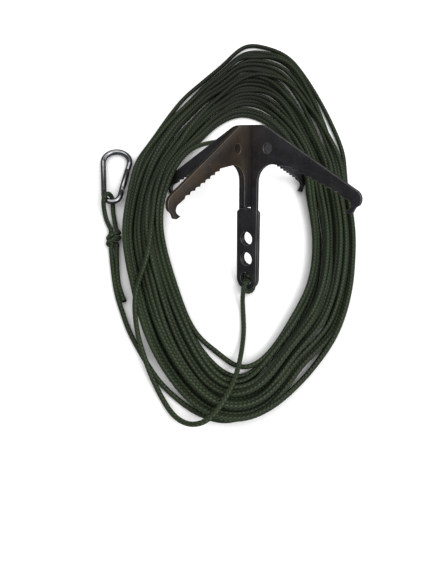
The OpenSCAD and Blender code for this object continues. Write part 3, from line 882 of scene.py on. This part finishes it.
# %% Plates
PLATE_EDGE, PLATE_STEPS = 0.00045, 2
for side in ("front", "back"):
    plate = rounded_copy("claw_plate_" + side, "plate_" + side, PLATE_EDGE, PLATE_STEPS, (STEEL, STEEL_EDGE_HIGHLIGHT))
    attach(plate, "anchor")
    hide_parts("claw_plate_" + side)


# %% [markdown]
# ## The snap hook
# The hook is one bent wire with a bright zinc coat. Its gate is a sleeve that swings on a rivet, pushed shut
# by a small spring. Zinc is smooth and reflects its surroundings softly, with a faint bloom here and there,
# so it is a full metal with low roughness that the stains of the wear group raise a little.

# %% Zinc
BLOOM_TONE, BLOOM_ROUGH, BLOOM_SCALE = 0.72, 0.14, 1.6
ZINC_SCRATCH, ZINC_GRAIN = colour(90, 90, 92), 0.00004


def make_zinc(name, tone, rough):
    mat, tree, shader, place = material(name)
    wear = use_group(tree, WEAR, Place=place, Scale=BLOOM_SCALE)
    base = mix(tree, wear["Stain"], tone, tuple(BLOOM_TONE * c for c in tone[:3]) + (1.0,))
    base = tinted(tree, base, ZINC_SCRATCH, mask=wear["Scratch"], share=0.3)
    put(tree, shader.inputs["Base Color"], base)
    put(tree, shader.inputs["Roughness"], calc(tree, "MULTIPLY_ADD", wear["Stain"], BLOOM_ROUGH, rough))
    shader.inputs["Metallic"].default_value = 1.0
    bump(tree, shader, wear["Grain"], ZINC_GRAIN, strength=0.5)
    print(name, "has", len(tree.nodes), "nodes")
    return mat


ZINC = make_zinc("zinc_wire", colour(196, 198, 202), rough=0.16)
ZINC_GATE = make_zinc("zinc_gate", colour(205, 206, 208), rough=0.13)
SPRING = make_zinc("spring_wire", colour(150, 150, 152), rough=0.25)

# %% Hook pieces
HOOK_STEPS = 3
for node, name, body, width, mat, slot in (
        ("hook_body", "hook_wire", "anchor", 0.00035, ZINC, "zinc_steel"),
        ("hook_gate", "gate_sleeve", "gate", 0.0003, ZINC_GATE, "zinc_steel"),
        ("gate_rivet", "rivet", "gate", 0.0003, ZINC, "zinc_steel"),
        ("gate_plunger", "plunger", "gate", 0.0002, ZINC_GATE, "zinc_steel"),
        ("gate_spring", "spring", "gate", 0.0002, SPRING, "spring_steel")):
    piece = rounded_copy(node, name, width, HOOK_STEPS, (mat,))
    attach(piece, body)
    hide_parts(node)


# %% [markdown]
# ## Floor
# The set is a white sheet under an evenly bright sky, as in a light tent. A white floor that is only lit
# turns grey far from the lamp, so it also glows a little for the camera, except close to the object, where
# ambient occlusion keeps the soft contact shadow. Polished metal sees the sheet dark, as it would in a dim
# room, which draws the hook's outline.

# %% Floor
FLOOR_HALF, FLOOR_GLOW = 6, 0.3
SHADOW_REACH, SHADOW_RANGE = 0.02, (0.45, 0.95)
WHITE, BLACK, NEAR_WHITE, DIM = (1, 1, 1, 1), (0, 0, 0, 1), (0.96, 0.96, 0.96, 1), (0.10, 0.10, 0.10, 1)


def make_floor():
    mesh = bpy.data.meshes.new("floor")
    corners = [(FLOOR_HALF * x, FLOOR_HALF * y, 0) for x, y in ((-1, -1), (1, -1), (1, 1), (-1, 1))]
    mesh.from_pydata(corners, [], [(0, 1, 2, 3)])
    floor = bpy.data.objects.new("floor", mesh)
    scene.collection.objects.link(floor)
    mat, tree, shader, place = material("white_sheet")
    base = mix(tree, noise(tree, place, scale=3.0), NEAR_WHITE, WHITE)
    path = tree.nodes.new("ShaderNodeLightPath").outputs
    put(tree, shader.inputs["Base Color"], mix(tree, path["Is Glossy Ray"], base, DIM))
    open_floor = tree.nodes.new("ShaderNodeAmbientOcclusion")
    open_floor.inputs["Distance"].default_value = SHADOW_REACH
    glow = times(tree, path["Is Camera Ray"], span(tree, open_floor.outputs["AO"], *SHADOW_RANGE))
    put(tree, shader.inputs["Emission Color"], mix(tree, glow, BLACK, WHITE))
    shader.inputs["Emission Strength"].default_value = FLOOR_GLOW
    shader.inputs["Roughness"].default_value = 0.9
    shader.inputs["Specular IOR Level"].default_value = 0.1
    mesh.materials.append(mat)
    print("floor is", 2 * FLOOR_HALF, "m wide")


make_floor()

# %% [markdown]
# ## Sky and lamp
# The sky is even for everything matt. The camera sees it white, so the sheet runs out into a clean
# background, and polished metal sees a dark room with a light panel overhead and another at the right. One
# large lamp stands high at the front right and gives the cords their shaded sides.

# %% Sky and lamp
SKY = 0.9
ROOM_DARK, PANEL_LIGHT, PANEL_Z, RIGHT_PANEL_X = 0.05, 1.1, (0.72, 0.80), (0.80, 0.88)


def make_sky():
    world = bpy.data.worlds.new("light_tent")
    scene.world = world
    world.use_nodes = True
    tree = world.node_tree
    background = tree.nodes["Background"]
    path = tree.nodes.new("ShaderNodeLightPath").outputs
    way = tree.nodes.new("ShaderNodeSeparateXYZ")
    put(tree, way.inputs[0], tree.nodes.new("ShaderNodeTexCoord").outputs["Generated"])
    overhead = span(tree, way.outputs["Z"], *PANEL_Z, ROOM_DARK, PANEL_LIGHT)
    at_right = span(tree, way.outputs["X"], *RIGHT_PANEL_X)
    room = calc(tree, "MAXIMUM", overhead, at_right)
    level = calc(tree, "MULTIPLY_ADD", path["Is Camera Ray"], 1.0 - SKY, SKY)
    gloss = path["Is Glossy Ray"]
    matt = times(tree, level, calc(tree, "SUBTRACT", 1.0, gloss))
    background.inputs["Color"].default_value = WHITE
    put(tree, background.inputs["Strength"], calc(tree, "ADD", matt, times(tree, room, gloss)))
    print("sky of strength", SKY)


def make_lamp(name, place, target, size, power):
    data = bpy.data.lights.new(name, "AREA")
    data.size = size
    data.energy = power
    lamp = bpy.data.objects.new(name, data)
    lamp.location = place
    lamp.rotation_euler = (Vector(target) - Vector(place)).to_track_quat("-Z", "Y").to_euler()
    scene.collection.objects.link(lamp)
    print(name, "lamp of", power, "W")


make_sky()
make_lamp("key", place=(0.85, -0.45, 1.35), target=(0, 0, 0.03), size=0.8, power=9.0)
